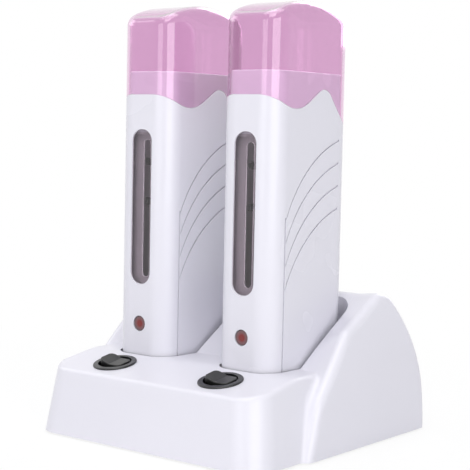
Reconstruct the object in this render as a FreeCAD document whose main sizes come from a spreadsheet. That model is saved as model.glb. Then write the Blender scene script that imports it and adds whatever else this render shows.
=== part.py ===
import FreeCAD, Part
import math
import os
import Sketcher
from FreeCAD import Placement, Rotation, Vector

# Double roll-on wax heater: a mains base with two hand-held heaters standing in its pockets.
# Millimetres. X runs to the right, Y to the rear and Z up, from the middle of the base's footprint
# at the height of its rubber feet.

SIZES = [
    ("base_width", 181.0, "rear housing across its foot"),
    ("base_length", 174.5, "front of the base to its rear"),
    ("rim_height", 1.0, "gap under the base's rim"),
    ("base_wall", 2.5, "wall of the base's shell"),
    ("deck_width", 172.0, "low front deck across its foot"),
    ("deck_draft", 7.5, "lean of the deck's walls, degrees"),
    ("deck_corner", 17.4, "front corners of the deck"),
    ("deck_level", 48.0, "height of the level part of the deck"),
    ("deck_tilt", 10.2, "fall of the deck's front part, degrees"),
    ("deck_edge", 3.0, "rounding of the deck's edges"),
    ("flank_start", 90.0, "crest of the housing to the foot of its sides"),
    ("flank_upright", 30.0, "height up to which the sides stand upright"),
    ("flank_curve", 177.0, "radius at which the sides curve in above that"),
    ("knee_forward", 10.5, "foot of the sides to their knee, along Y"),
    ("knee_level", 35.0, "height of the knee"),
    ("shoulder_forward", 45.0, "foot of the sides to their shoulder, along Y"),
    ("shoulder_level", 77.5, "height of the shoulder"),
    ("slope_start", 60.0, "crest to the foot of the housing's front slope"),
    ("slope_angle", 33.7, "steepness of that slope, degrees"),
    ("crest_inset", 41.0, "rear of the base to the housing's crest"),
    ("crest_level", 92.8, "height of the crest"),
    ("back_curve", 136.0, "radius of the housing's back"),
    ("back_lean", 36.5, "angle round that curve at which the back meets the crest, degrees"),
    ("wing_width", 28.5, "sides of the housing to the foot of its wings"),
    ("housing_edge", 5.0, "rounding of the housing's edges"),
    ("blend", 3.5, "blend between the deck and the housing"),
    ("plate_thickness", 2.5, "bottom plate"),
    ("plate_gap", 0.8, "bottom plate to the shell's wall"),
    ("boss_radius", 4.0, "screw bosses under the deck and the housing"),
    ("screw_radius", 1.4, "self-tapping screws"),
    ("screw_gap", 0.2, "screw to its hole"),
    ("foot_radius", 6.0, "rubber feet"),
    ("foot_recess", 1.2, "depth of the feet's seats in the plate"),
    ("heater_pitch", 80.0, "one heater's axis to the other's"),
    ("heater_width", 41.6, "heater across"),
    ("heater_depth", 79.3, "heater front to rear"),
    ("heater_corner", 13.0, "upright corners of the heater"),
    ("heater_foot", 38.0, "height of the heater's underside"),
    ("heater_wall", 2.0, "wall of the heater's shell"),
    ("setback", 44.5, "front of the base to the heaters' front"),
    ("pocket_gap", 1.0, "pocket to the heater's sides and front"),
    ("pocket_rear_gap", 5.6, "pocket to the heater's rear"),
    ("pocket_flare", 3.5, "growth of the side gaps from the pocket's front to its rear"),
    ("pocket_wall", 2.0, "wall of the pocket"),
    ("seam_front", 208.4, "height of the cap's seam at the heater's front"),
    ("valley_depth", 21.3, "heater's front to the seam's low point"),
    ("valley_level", 199.2, "height of the low point"),
    ("valley_round", 24.0, "rounding of the low point"),
    ("peak_depth", 51.0, "heater's front to the seam's high point"),
    ("peak_level", 212.2, "height of the high point"),
    ("peak_round", 8.5, "rounding of the high point"),
    ("seam_rear", 192.0, "height of the seam at the heater's rear"),
    ("seam_gap", 0.3, "cap to shell at the seam"),
    ("cap_wall", 1.6, "wall of the cap"),
    ("cap_top", 264.2, "height of the cap"),
    ("cap_crown", 10.0, "rise of the cap's top from its ends to its middle"),
    ("cap_edge", 7.0, "rounding of the cap's top edge"),
    ("collar_top", 222.6, "height of the collar"),
    ("collar_foot", 6.5, "collar below the lowest point of the seam"),
    ("collar_wall", 1.7, "wall of the collar"),
    ("collar_gap", 0.3, "collar to the inside of the shell"),
    ("well_width", 35.2, "heating well across, outside"),
    ("well_depth", 55.2, "heating well front to rear, outside"),
    ("well_corner", 10.0, "upright corners of the well"),
    ("well_wall", 1.0, "wall of the well"),
    ("well_floor", 78.0, "height of the well's underside"),
    ("well_front", 6.6, "heater's front to the well's front"),
    ("view_slot", 5.6, "slot in the well's front, across"),
    ("flange_thickness", 1.5, "flange round the well"),
    ("ledge_depth", 0.9, "ledge in the shell that carries the flange"),
    ("ledge_thickness", 2.0, "the same ledge, upright"),
    ("window_width", 16.0, "window slot across"),
    ("window_low", 91.7, "height of the window slot's lower end"),
    ("window_high", 187.1, "height of its upper end"),
    ("window_corner", 7.4, "rounding of the slot's ends"),
    ("window_gap", 0.2, "window to its slot"),
    ("window_recess", 0.4, "window's face behind the heater's front"),
    ("window_lip", 1.0, "lip of the window behind the slot's edge"),
    ("window_lip_thickness", 1.2, "the same lip, front to rear"),
    ("lamp_level", 67.1, "height of the indicator"),
    ("lamp_hole", 4.8, "radius of the indicator's hole"),
    ("lamp_gap", 0.3, "indicator lens to its hole"),
    ("lamp_radius", 2.5, "glow lamp"),
    ("groove_depth", 0.8, "depth of the grip grooves"),
    ("groove_width", 1.3, "width of the grip grooves"),
    ("groove_pitch", 13.7, "one curved groove to the next"),
    ("groove_level", 136.2, "height at which the topmost curved groove starts"),
    ("groove_curve", 84.0, "radius of the curved grooves"),
    ("groove_inset", 13.4, "heater's front to the upright groove"),
    ("block_width", 24.0, "contact block across"),
    ("block_depth", 12.0, "contact block front to rear"),
    ("block_height", 12.0, "contact block, upright"),
    ("pin_spacing", 12.0, "one contact pin to the other"),
    ("pin_radius", 1.5, "contact pins"),
    ("pin_reach", 8.0, "contact pins above the pocket's floor"),
    ("sleeve_radius", 2.3, "contact sleeves, outside"),
    ("sleeve_bore", 1.8, "contact sleeves, inside"),
    ("dock_width", 30.0, "dock block across, under the pocket"),
    ("switch_spread", 41.2, "middle of the base to each switch"),
    ("switch_reach", 20.3, "heaters' front to each switch, along the tilted deck"),
    ("bezel_radius", 13.4, "switch bezel"),
    ("bezel_thickness", 1.1, "switch bezel above the deck"),
    ("barrel_radius", 12.2, "switch barrel"),
    ("barrel_depth", 14.0, "switch barrel below the deck"),
    ("rocker_well", 10.3, "radius of the switch's opening"),
    ("rocker_length", 16.6, "rocker along its rocking direction"),
    ("rocker_width", 12.5, "rocker along its axle"),
    ("rocker_tilt", 10.0, "tilt of the rocker to either side, degrees"),
    ("rocker_height", 4.8, "rocker's raised end above its axle"),
    ("rocker_dip", 1.6, "dip of the rocker's middle below its ends"),
    ("axle_radius", 1.2, "rocker's axle stubs"),
    ("axle_gap", 0.06, "running gap round the stubs"),
    ("axle_drop", 1.5, "axle below the deck's surface"),
    ("inlet_width", 20.0, "mains inlet across"),
    ("inlet_height", 12.0, "mains inlet, upright"),
    ("inlet_depth", 20.0, "mains inlet front to rear"),
    ("inlet_level", 20.0, "height of the inlet's axis"),
    ("inlet_pin", 1.2, "inlet pins' radius"),
    ("inlet_spacing", 8.6, "one inlet pin to the other"),
]


class Measure:
    """A size in millimetres or degrees, with the spreadsheet formula that gives it."""

    def __init__(self, value, formula):
        self.value = value
        self.formula = formula

    def __add__(self, other):
        return Measure(self.value + number(other), "(%s + %s)" % (self.formula, formula(other)))

    def __radd__(self, other):
        return Measure(number(other) + self.value, "(%s + %s)" % (formula(other), self.formula))

    def __sub__(self, other):
        return Measure(self.value - number(other), "(%s - %s)" % (self.formula, formula(other)))

    def __rsub__(self, other):
        return Measure(number(other) - self.value, "(%s - %s)" % (formula(other), self.formula))

    def __mul__(self, other):
        return Measure(self.value * number(other), "(%s * %s)" % (self.formula, formula(other)))

    __rmul__ = __mul__

    def __truediv__(self, other):
        return Measure(self.value / number(other), "(%s / %s)" % (self.formula, formula(other)))

    def __neg__(self):
        return self * -1


def number(size):
    return size.value if isinstance(size, Measure) else float(size)


def formula(size):
    return size.formula if isinstance(size, Measure) else repr(float(size))


def slope_of(angle):
    """Rise per millimetre of a plane that leans by the angle."""
    return Measure(math.tan(math.radians(angle.value)), "tan(%s * 1 deg)" % angle.formula)


def root(size):
    return Measure(math.sqrt(size.value), "sqrt(%s)" % size.formula)


class Sheet:
    """Reads a named cell of the spreadsheet as a Measure."""

    def __getattr__(self, alias):
        return Measure(float(cells.get(alias)), "dim." + alias)


doc = FreeCAD.newDocument("wax_heater")
cells = doc.addObject("Spreadsheet::Sheet", "dim")
for row, (alias, value, meaning) in enumerate(SIZES, start=1):
    cells.set("A%d" % row, meaning)
    cells.set("B%d" % row, str(value))
    cells.setAlias("B%d" % row, alias)
doc.recompute()
d = Sheet()

# Places that several pieces share, worked out from the sheet.
front = -d.base_length / 2
rear = d.base_length / 2
heater_front = front + d.setback
heater_middle = heater_front + d.heater_depth / 2
housing_crest = rear - d.crest_inset
slope_foot = housing_crest - d.slope_start
flank_foot = housing_crest - d.flank_start
pocket_floor = d.heater_foot - d.pocket_gap
plate_top = d.rim_height + d.plate_thickness + 0.5
half_width = d.heater_width / 2
half_depth = d.heater_depth / 2
collar_low = d.seam_rear - d.collar_foot
SIDES = {"left": -1, "right": 1}
HIGH = 400.0

parts = []


# ---- Sketches and features of a body -------------------------------------------------------

def new_body(label, x=0, y=0, z=0):
    body = doc.addObject("PartDesign::Body", label)
    body.Label = label
    for axis, distance in zip("xyz", (x, y, z)):
        body.setExpression("Placement.Base." + axis, formula(distance))
    parts.append(body)
    return body


def new_sketch(body, plane, name, height=0):
    """Sketch on an origin plane of the body, lifted along the plane's normal by height."""
    sketch = body.newObject("Sketcher::SketchObject", body.Name + "_" + name)
    origin_plane = [item for item in body.Origin.OriginFeatures if item.Role == plane + "_Plane"][0]
    sketch.AttachmentSupport = [(origin_plane, "")]
    sketch.MapMode = "FlatFace"
    sketch.setExpression("AttachmentOffset.Base.z", formula(height))
    return sketch


def hold(sketch, kind, *geometry, size):
    """Constrain a length and bind it to its formula."""
    index = sketch.addConstraint(Sketcher.Constraint(kind, *geometry, number(size)))
    sketch.setExpression("Constraints[%d]" % index, formula(size))


def hold_point(sketch, geometry, vertex, x, y):
    hold(sketch, "DistanceX", -1, 1, geometry, vertex, size=x)
    hold(sketch, "DistanceY", -1, 1, geometry, vertex, size=y)


def circle(sketch, x, y, radius):
    centre = Vector(number(x), number(y), 0)
    index = sketch.addGeometry(Part.Circle(centre, Vector(0, 0, 1), number(radius)))
    hold_point(sketch, index, 3, x, y)
    hold(sketch, "Radius", index, size=radius)


def polygon(sketch, corners):
    """Closed outline through corners given as pairs of sizes."""
    points = [Vector(number(x), number(y), 0) for x, y in corners]
    first = sketch.GeometryCount
    count = len(points)
    for index in range(count):
        sketch.addGeometry(Part.LineSegment(points[index], points[(index + 1) % count]))
    for index in range(count):
        following = first + (index + 1) % count
        sketch.addConstraint(Sketcher.Constraint("Coincident", first + index, 2, following, 1))
    for index, (x, y) in enumerate(corners):
        hold_point(sketch, first + index, 1, x, y)


def rectangle(sketch, left, low, right, high):
    polygon(sketch, [(left, low), (right, low), (right, high), (left, high)])


def rounded_rectangle(sketch, left, low, right, high, radius):
    """Rectangle whose four corners are arcs of one radius."""
    x0, y0, x1, y1, r = (number(size) for size in (left, low, right, high, radius))
    up = Vector(0, 0, 1)
    sides = [
        (Vector(x0 + r, y0, 0), Vector(x1 - r, y0, 0)),
        (Vector(x1, y0 + r, 0), Vector(x1, y1 - r, 0)),
        (Vector(x1 - r, y1, 0), Vector(x0 + r, y1, 0)),
        (Vector(x0, y1 - r, 0), Vector(x0, y0 + r, 0)),
    ]
    centres = [(x1 - r, y0 + r), (x1 - r, y1 - r), (x0 + r, y1 - r), (x0 + r, y0 + r)]
    first = sketch.GeometryCount
    for index in range(4):
        sketch.addGeometry(Part.LineSegment(*sides[index]))
        start = math.radians(-90 + 90 * index)
        corner = Part.Circle(Vector(*centres[index], 0), up, r)
        sketch.addGeometry(Part.ArcOfCircle(corner, start, start + math.pi / 2))
    for index in range(4):
        line = first + 2 * index
        arc = line + 1
        following = first + (2 * index + 2) % 8
        sketch.addConstraint(Sketcher.Constraint("Tangent", line, 2, arc, 1))
        sketch.addConstraint(Sketcher.Constraint("Tangent", arc, 2, following, 1))
        if index:
            sketch.addConstraint(Sketcher.Constraint("Equal", first + 1, arc))
    sketch.addConstraint(Sketcher.Constraint("Horizontal", first))
    hold(sketch, "Radius", first + 1, size=radius)
    hold(sketch, "DistanceY", -1, 1, first, 1, size=low)
    hold(sketch, "DistanceX", -1, 1, first + 2, 1, size=right)
    hold(sketch, "DistanceY", -1, 1, first + 4, 1, size=high)
    hold(sketch, "DistanceX", -1, 1, first + 6, 1, size=left)


def section(sketch, inset, radius=None):
    """The heater's cross-section, drawn in by inset."""
    corner = d.heater_corner - inset if radius is None else radius
    right = half_width - inset
    back = half_depth - inset
    rounded_rectangle(sketch, -right, -back, right, back, corner)


def pad(body, sketch, length, back=False, symmetric=False):
    feature = body.newObject("PartDesign::Pad", sketch.Name + "_pad")
    feature.Profile = sketch
    feature.SideType = "Symmetric" if symmetric else "One side"
    feature.Reversed = back
    feature.setExpression("Length", formula(length))
    doc.recompute()
    return feature


def pocket(body, sketch, depth, back=False, symmetric=False):
    """Cut along the sketch's normal, reversed; the cut must take something away."""
    before = body.Tip.Shape.Volume
    feature = body.newObject("PartDesign::Pocket", sketch.Name + "_pocket")
    feature.Profile = sketch
    feature.SideType = "Symmetric" if symmetric else "One side"
    feature.Reversed = back
    feature.setExpression("Length", formula(depth))
    doc.recompute()
    left = body.Tip.Shape.Volume
    if left > before - 1e-6 or left < 1e-6:
        raise ValueError(feature.Name + " cuts nothing or everything")
    return feature


def round_edges(body, radius, test, name="edges"):
    """Round the edges of the body for which test is true."""
    tip = body.Tip
    chosen = ["Edge%d" % (index + 1) for index, edge in enumerate(tip.Shape.Edges) if test(edge)]
    feature = body.newObject("PartDesign::Fillet", body.Name + "_" + name)
    feature.Base = (tip, chosen)
    feature.setExpression("Radius", formula(radius))
    doc.recompute()
    return feature


def near(value, size):
    return abs(value - number(size)) < 1e-4


def flat_at(height):
    """Test for edges that lie at one height."""
    return lambda edge: near(edge.BoundBox.ZMin, height) and near(edge.BoundBox.ZMax, height)


def upright(edge):
    box = edge.BoundBox
    return box.XLength < 1e-4 and box.YLength < 1e-4


# ---- Outlines with rounded corners, for the shapes that are built directly ------------------

def rounded_path(corners, radii, closed=False):
    """Lines through corners, joined by tangent arcs; a radius of 0 keeps a corner sharp."""
    count = len(corners)
    joints = []
    for index, (corner, radius) in enumerate(zip(corners, radii)):
        at_end = not closed and index in (0, count - 1)
        if at_end or radius == 0:
            joints.append((corner, None, corner))
            continue
        before = (corners[index - 1] - corner).normalize()
        after = (corners[(index + 1) % count] - corner).normalize()
        half = before.getAngle(after) / 2
        reach = radius / math.tan(half)
        middle = (before + after).normalize()
        halfway = corner + middle * (radius / math.sin(half) - radius)
        joints.append((corner + before * reach, halfway, corner + after * reach))
    edges = []
    for index, (start, halfway, finish) in enumerate(joints):
        if halfway is not None:
            edges.append(Part.Arc(start, halfway, finish).toShape())
        if closed or index < count - 1:
            following = joints[(index + 1) % count][0]
            if following.distanceToPoint(finish) > 1e-6:
                edges.append(Part.LineSegment(finish, following).toShape())
    return edges


def side_view(points, x=0.0):
    """Points of a side view, given as (y, z) pairs."""
    return [Vector(x, number(y), number(z)) for y, z in points]


def front_view(points, y=0.0):
    """Points of a front view, given as (x, z) pairs."""
    return [Vector(number(x), y, number(z)) for x, z in points]


def prism(edges, along):
    """Solid swept by a closed flat outline."""
    return Part.Face(Part.Wire(Part.__sortEdges__(edges))).extrude(along)


def box(x0, x1, y0, y1, z0, z1):
    corner = Vector(number(x0), number(y0), number(z0))
    width, depth, height = number(x1) - corner.x, number(y1) - corner.y, number(z1) - corner.z
    return Part.makeBox(width, depth, height, corner)


def cylinder(radius, x, y, z0, z1):
    low = number(z0)
    return Part.makeCylinder(number(radius), number(z1) - low, Vector(number(x), number(y), low))


def new_feature(label, shape):
    feature = doc.addObject("Part::Feature", label)
    feature.Label = label
    feature.Shape = shape
    parts.append(feature)
    return feature


# ---- Base ---------------------------------------------------------------------------------

def deck_form(inset, low):
    """Low front part of the base: leaning walls, and a top that falls away in front."""
    lean = slope_of(d.deck_draft).value
    rim = number(d.rim_height)
    high = number(d.deck_level) + 10
    back = number(slope_foot) + 10
    wires = []
    for z in (low, high):
        shrink = inset + lean * (z - rim)
        side = number(d.deck_width) / 2 - shrink
        ahead = number(front) + shrink
        corners = [Vector(-side, back, z), Vector(-side, ahead, z),
                   Vector(side, ahead, z), Vector(side, back, z)]
        radius = max(number(d.deck_corner) - inset, 1.0)
        edges = rounded_path(corners, [0, radius, radius, 0], closed=True)
        wires.append(Part.Wire(Part.__sortEdges__(edges)))
    walls = Part.makeLoft(wires, True, True)
    level = number(d.deck_level) - inset
    crease = number(heater_front)
    ahead = number(front) - 20
    fall = slope_of(d.deck_tilt).value * (crease - ahead)
    above = side_view([(ahead, level - fall), (crease, level), (back + 5, level),
                       (back + 5, HIGH), (ahead, HIGH)], -HIGH)
    crease_round = 60.0
    cut = prism(rounded_path(above, [0, crease_round, 0, 0, 0], closed=True), Vector(2 * HIGH, 0, 0))
    return walls.cut(cut)


def between_flanks(inset, low):
    """Room between the base's two sides, which stand upright at their foot and then curve in."""
    side = number(d.base_width) / 2 - inset
    curve = number(d.flank_curve) - inset
    upright_end = number(d.flank_upright)

    def flank(z):
        return side - curve + math.sqrt(curve * curve - (z - upright_end) ** 2)

    top = number(d.crest_level) + 12
    middle = (upright_end + top) / 2
    ahead = -HIGH
    outline = [(side, low - 1), (side, upright_end), (flank(middle), middle), (flank(top), top)]
    right = front_view(outline, ahead)
    left = [Vector(-point.x, point.y, point.z) for point in right]
    edges = [
        Part.LineSegment(left[0], right[0]).toShape(),
        Part.LineSegment(right[0], right[1]).toShape(),
        Part.Arc(right[1], right[2], right[3]).toShape(),
        Part.LineSegment(right[3], left[3]).toShape(),
        Part.Arc(left[3], left[2], left[1]).toShape(),
        Part.LineSegment(left[1], left[0]).toShape(),
    ]
    return prism(edges, Vector(0, 2 * HIGH, 0))


def line_through(first, second, inset):
    """A line given by a point and a direction, moved to the right of its run by inset."""
    along = (second - first).normalize()
    return first + Vector(0, along.z, -along.y) * inset, along


def crossing(line, other):
    """Where two lines of a side view meet."""
    point, along = line
    goal, across = other
    gap = goal - point
    turn = along.y * across.z - along.z * across.y
    return point + along * ((gap.y * across.z - gap.z * across.y) / turn)


def housing_section(x, wing, inset, low):
    """Closed side view of the rear housing: wing is 1 at its sides and 0 in its middle."""
    foot = number(flank_foot)
    rise = slope_of(d.slope_angle).value

    def point(y, side_level):
        middle_level = number(d.deck_level) + rise * (y - number(slope_foot))
        return Vector(x, y, middle_level + wing * (number(side_level) - middle_level))

    base = Vector(x, foot, number(d.rim_height))
    knee = point(foot + number(d.knee_forward), d.knee_level)
    shoulder = point(foot + number(d.shoulder_forward), d.shoulder_level) + Vector(0, 0, 0.4)
    crest = point(number(housing_crest), d.crest_level)
    curve = number(d.back_curve)
    lean = math.radians(number(d.back_lean))
    centre = Vector(x, number(rear) - curve, 0)
    brow = centre + Vector(0, math.cos(lean), math.sin(lean)) * curve
    lines = [
        (Vector(x, 0, low), Vector(0, 1, 0)),
        line_through(base, knee, inset),
        line_through(knee, shoulder, inset),
        line_through(shoulder, crest, inset),
        line_through(brow, brow + Vector(0, math.sin(lean), -math.cos(lean)), inset),
    ]
    corners = [crossing(lines[index], lines[index + 1]) for index in range(4)]
    corners.append(centre + Vector(0, math.cos(lean), math.sin(lean)) * (curve - inset))
    crest_round = 13 + 5 * wing - inset
    edges = rounded_path(corners, [0, 25 - inset, 400 - 385 * min(wing, 1) - inset, crest_round, 0])

    def on_back(z):
        return Vector(x, centre.y + math.sqrt((curve - inset) ** 2 - z * z), z)

    edges.append(Part.Arc(corners[4], on_back(corners[4].z / 2), on_back(low)).toShape())
    edges.append(Part.LineSegment(on_back(low), corners[0]).toShape())
    return Part.Wire(Part.__sortEdges__(edges))


def housing_form(inset, low):
    """Rear housing: a middle part, wings that rise towards the sides, and leaning flanks."""
    half = number(d.base_width) / 2
    inner = half - number(d.wing_width)
    outer = half + 5
    steep = (outer - inner) / (half - inner)
    wires = [housing_section(x, wing, inset, low)
             for x, wing in ((-outer, steep), (-inner, 0), (inner, 0), (outer, steep))]
    body = Part.makeLoft(wires, True, True)
    return body.common(between_flanks(inset, low))


def pocket_block(x, grow, z0, z1):
    """Block as wide as a heater's pocket, which widens to the rear, or larger by grow all round."""
    low = number(z0)
    middle = number(x)
    ahead = number(half_width + d.pocket_gap) + grow
    behind = ahead + number(d.pocket_flare)
    near_side = number(heater_front - d.pocket_gap) - grow
    far_side = number(heater_front + d.heater_depth + d.pocket_rear_gap) + grow
    corners = [Vector(middle - ahead, near_side, low), Vector(middle + ahead, near_side, low),
               Vector(middle + behind, far_side, low), Vector(middle - behind, far_side, low)]
    corner = number(d.heater_corner + d.pocket_gap) + grow
    outline = rounded_path(corners, [corner] * 4, closed=True)
    return prism(outline, Vector(0, 0, number(z1) - low))


def on_deck(x, shape):
    """Set a shape made at the origin onto the tilted deck, at a switch."""
    tilt = math.radians(number(d.deck_tilt))
    reach = number(d.switch_reach)
    place = Vector(number(x), number(heater_front) - reach * math.cos(tilt),
                   number(d.deck_level) - reach * math.sin(tilt))
    shape.Placement = Placement(place, Rotation(Vector(1, 0, 0), math.degrees(tilt)))
    return shape


def creased(shape, edge):
    """True where two faces meet at an angle along the edge."""
    faces = shape.ancestorsOfType(edge, Part.Face)
    if len(faces) != 2:
        return False
    middle = edge.valueAt((edge.FirstParameter + edge.LastParameter) / 2)
    normals = [face.normalAt(*face.Surface.parameter(middle)) for face in faces]
    return normals[0].getAngle(normals[1]) > math.radians(8)


def deck_top_edges(deck):
    behind = number(slope_foot) + 5
    low = number(d.deck_level) * 0.6
    return [edge for edge in deck.Edges
            if edge.BoundBox.ZMin > low and edge.BoundBox.YMin < behind and creased(deck, edge)]


def housing_edges(housing):
    """Edges round the flanks; the foot of the wings and the rim stay sharp."""
    rim = number(d.rim_height)
    wing_foot = number(d.base_width / 2 - d.wing_width)
    chosen = []
    for edge in housing.Edges:
        bounds = edge.BoundBox
        along_foot = bounds.XLength < 0.1 and near(abs(bounds.XMin), wing_foot)
        if bounds.ZMax > rim + 0.1 and not along_foot and creased(housing, edge):
            chosen.append(edge)
    return chosen


def hollow_edges(shape, low):
    """Edges above a height where two faces meet in a hollow corner."""
    chosen = []
    for edge in shape.Edges:
        if edge.BoundBox.ZMax < low or not creased(shape, edge):
            continue
        middle = (edge.FirstParameter + edge.LastParameter) / 2
        centre = edge.valueAt(middle)
        along = edge.tangentAt(middle)
        side = along.cross(Vector(0.31, 0.52, 0.79)).normalize()
        lift = along.cross(side)
        inside = 0
        for step in range(24):
            turn = math.pi * step / 12
            spot = centre + (side * math.cos(turn) + lift * math.sin(turn)) * 0.4
            inside += shape.isInside(spot, 1e-6, False)
        if inside > 13:
            chosen.append(edge)
    return chosen


BASE_SCREWS = [(0, heater_front + 8.75), (0, rear - 29.25)]
for hand in (-1, 1):
    BASE_SCREWS.append((hand * (d.deck_width / 2 - 10), front + 35.25))
    BASE_SCREWS.append((hand * (d.base_width / 2 - 11.5), rear - 21.25))
FOOT_PLACES = []
for hand in (-1, 1):
    FOOT_PLACES.append((hand * (d.deck_width / 2 - 20), front + 17.25))
    FOOT_PLACES.append((hand * (d.base_width / 2 - 28.5), rear - 17.25))


def blended_edges(shape):
    """Creases between the deck and the housing, ahead of the deck's end inside the housing."""
    deck_end = number(slope_foot) + 9
    on_top = number(d.deck_level) - 0.5
    creases = hollow_edges(shape, number(d.rim_height) + 0.2)
    return [edge for edge in creases if edge.BoundBox.YMax < deck_end or edge.BoundBox.ZMin > on_top]


def make_base_shell():
    rim = number(d.rim_height)
    wall = number(d.base_wall)
    deck = deck_form(0, rim)
    deck = deck.makeFillet(number(d.deck_edge), deck_top_edges(deck))
    housing = housing_form(0, rim)
    housing = housing.makeFillet(number(d.housing_edge), housing_edges(housing))
    outside = housing.fuse(deck)
    outside = outside.makeFillet(number(d.blend), blended_edges(outside))
    void = housing_form(wall, rim - 1).fuse(deck_form(wall, rim - 1))
    solid = []
    holes = []
    for side in SIDES.values():
        x = side * d.heater_pitch / 2
        solid.append(pocket_block(x, number(d.pocket_wall), pocket_floor - d.base_wall, HIGH / 2))
        holes.append(pocket_block(x, 0, pocket_floor, HIGH / 2))
        holes.append(box(x - d.block_width / 2, x + d.block_width / 2, heater_middle - d.block_depth / 2,
                         heater_middle + d.block_depth / 2, pocket_floor - 10, pocket_floor + 1))
        hole = Part.makeCylinder(number(d.barrel_radius) + 0.25, 60, Vector(0, 0, -20))
        holes.append(on_deck(side * d.switch_spread, hole))
    for x, y in BASE_SCREWS:
        solid.append(cylinder(d.boss_radius, x, y, plate_top, 200))
        holes.append(cylinder(d.screw_radius + d.screw_gap, x, y, 0, plate_top + 13))
    pad_half = d.inlet_width / 2 + 4
    inlet_half = d.inlet_width / 2 + 0.2
    tall = d.inlet_height / 2
    back = rear - 8
    solid.append(box(-pad_half, pad_half, back, rear + 5,
                     d.inlet_level - tall - 4, d.inlet_level + tall + 4))
    holes.append(box(-inlet_half, inlet_half, back - 1, rear + 5, d.inlet_level - tall - 0.2,
                     d.inlet_level + tall + 0.2))
    void = void.cut(solid)
    return outside.cut(void).cut(holes)


new_feature("base_shell", make_base_shell())


def make_base_plate():
    body = new_body("base_plate")
    inset = d.base_wall + d.plate_gap
    low = d.rim_height + 0.5
    sketch = new_sketch(body, "XY", "outline", low)
    narrow = d.deck_width / 2 - inset - 0.5
    wide = d.base_width / 2 - inset
    step = flank_foot + inset + 1
    near_edge = front + inset + 0.5
    far_edge = rear - inset
    polygon(sketch, [(-narrow, near_edge), (narrow, near_edge), (narrow, step), (wide, step),
                     (wide, far_edge), (-wide, far_edge), (-wide, step), (-narrow, step)])
    pad(body, sketch, d.plate_thickness)
    round_edges(body, d.deck_corner - inset,
                lambda e: upright(e) and e.BoundBox.YMin < number(near_edge) + 1, "front_corners")
    round_edges(body, 4, lambda e: upright(e) and e.BoundBox.YMin > number(far_edge) - 1, "rear_corners")
    sketch = new_sketch(body, "XY", "screw_holes", low)
    for x, y in BASE_SCREWS:
        circle(sketch, x, y, d.screw_radius + d.screw_gap)
    pocket(body, sketch, d.plate_thickness, back=True)
    sketch = new_sketch(body, "XY", "seats", low)
    for x, y in BASE_SCREWS:
        circle(sketch, x, y, 3.2)
    for x, y in FOOT_PLACES:
        circle(sketch, x, y, d.foot_radius + 0.1)
    pocket(body, sketch, d.foot_recess, back=True)


def make_rubber_feet():
    body = new_body("rubber_feet")
    sketch = new_sketch(body, "XY", "feet")
    for x, y in FOOT_PLACES:
        circle(sketch, x, y, d.foot_radius)
    pad(body, sketch, d.rim_height + 0.5 + d.foot_recess)
    round_edges(body, 0.6, flat_at(0))


def make_base_screws():
    body = new_body("base_screws")
    seat = d.rim_height + 0.5 + d.foot_recess
    sketch = new_sketch(body, "XY", "heads", seat)
    for x, y in BASE_SCREWS:
        circle(sketch, x, y, 2.8)
    pad(body, sketch, 1.1, back=True)
    sketch = new_sketch(body, "XY", "shanks", seat)
    for x, y in BASE_SCREWS:
        circle(sketch, x, y, d.screw_radius)
    pad(body, sketch, 12)


make_base_plate()
make_rubber_feet()
make_base_screws()


# ---- Mains inlet --------------------------------------------------------------------------

def make_power_inlet():
    """Recessed two-pin socket; its flange bears on a pad inside the rear wall."""
    body = new_body("power_inlet", z=d.inlet_level)
    half = d.inlet_width / 2
    tall = d.inlet_height / 2
    face = rear - 1.5
    sketch = new_sketch(body, "XZ", "barrel", -face)
    rounded_rectangle(sketch, -half, -tall, half, tall, 4)
    pad(body, sketch, d.inlet_depth)
    sketch = new_sketch(body, "XZ", "flange", -(rear - 8))
    rounded_rectangle(sketch, -half - 3, -tall - 3, half + 3, tall + 3, 3)
    pad(body, sketch, 2)
    sketch = new_sketch(body, "XZ", "socket", -face)
    rounded_rectangle(sketch, -half + 2, -tall + 2, half - 2, tall - 2, 3.5)
    pocket(body, sketch, d.inlet_depth - 4, back=True)
    sketch = new_sketch(body, "XZ", "pin_holes", -face)
    for sign in (-1, 1):
        circle(sketch, d.inlet_spacing * (sign / 2), 0, d.inlet_pin)
    pocket(body, sketch, d.inlet_depth, back=True)


def make_inlet_pins():
    """Two pins through the back of the socket, with heads behind it."""
    body = new_body("inlet_pins", z=d.inlet_level)
    back = rear - 1.5 - d.inlet_depth
    sketch = new_sketch(body, "XZ", "pins", -back)
    for sign in (-1, 1):
        circle(sketch, d.inlet_spacing * (sign / 2), 0, d.inlet_pin)
    pad(body, sketch, d.inlet_depth - 6, back=True)
    sketch = new_sketch(body, "XZ", "heads", -back)
    for sign in (-1, 1):
        circle(sketch, d.inlet_spacing * (sign / 2), 0, 2.0)
    pad(body, sketch, 4)


make_power_inlet()
make_inlet_pins()


# ---- Switches, one for each heater ----------------------------------------------------------

def lay_on_deck(body, x, twist=0.0):
    """Set a body on the tilted deck at a switch, turned about the switch's own axle by twist."""
    tilt = math.radians(number(d.deck_tilt))
    turn = Rotation(Vector(1, 0, 0), math.degrees(tilt)).multiply(Rotation(Vector(0, 1, 0), twist))
    body.Placement = Placement(body.Placement.Base, turn)
    reach = d.switch_reach
    body.setExpression("Placement.Base.x", formula(x))
    body.setExpression("Placement.Base.y", "%s - %s * cos(dim.deck_tilt * 1 deg)"
                       % (formula(heater_front), formula(reach)))
    body.setExpression("Placement.Base.z", "dim.deck_level - %s * sin(dim.deck_tilt * 1 deg)"
                       % formula(reach))


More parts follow.
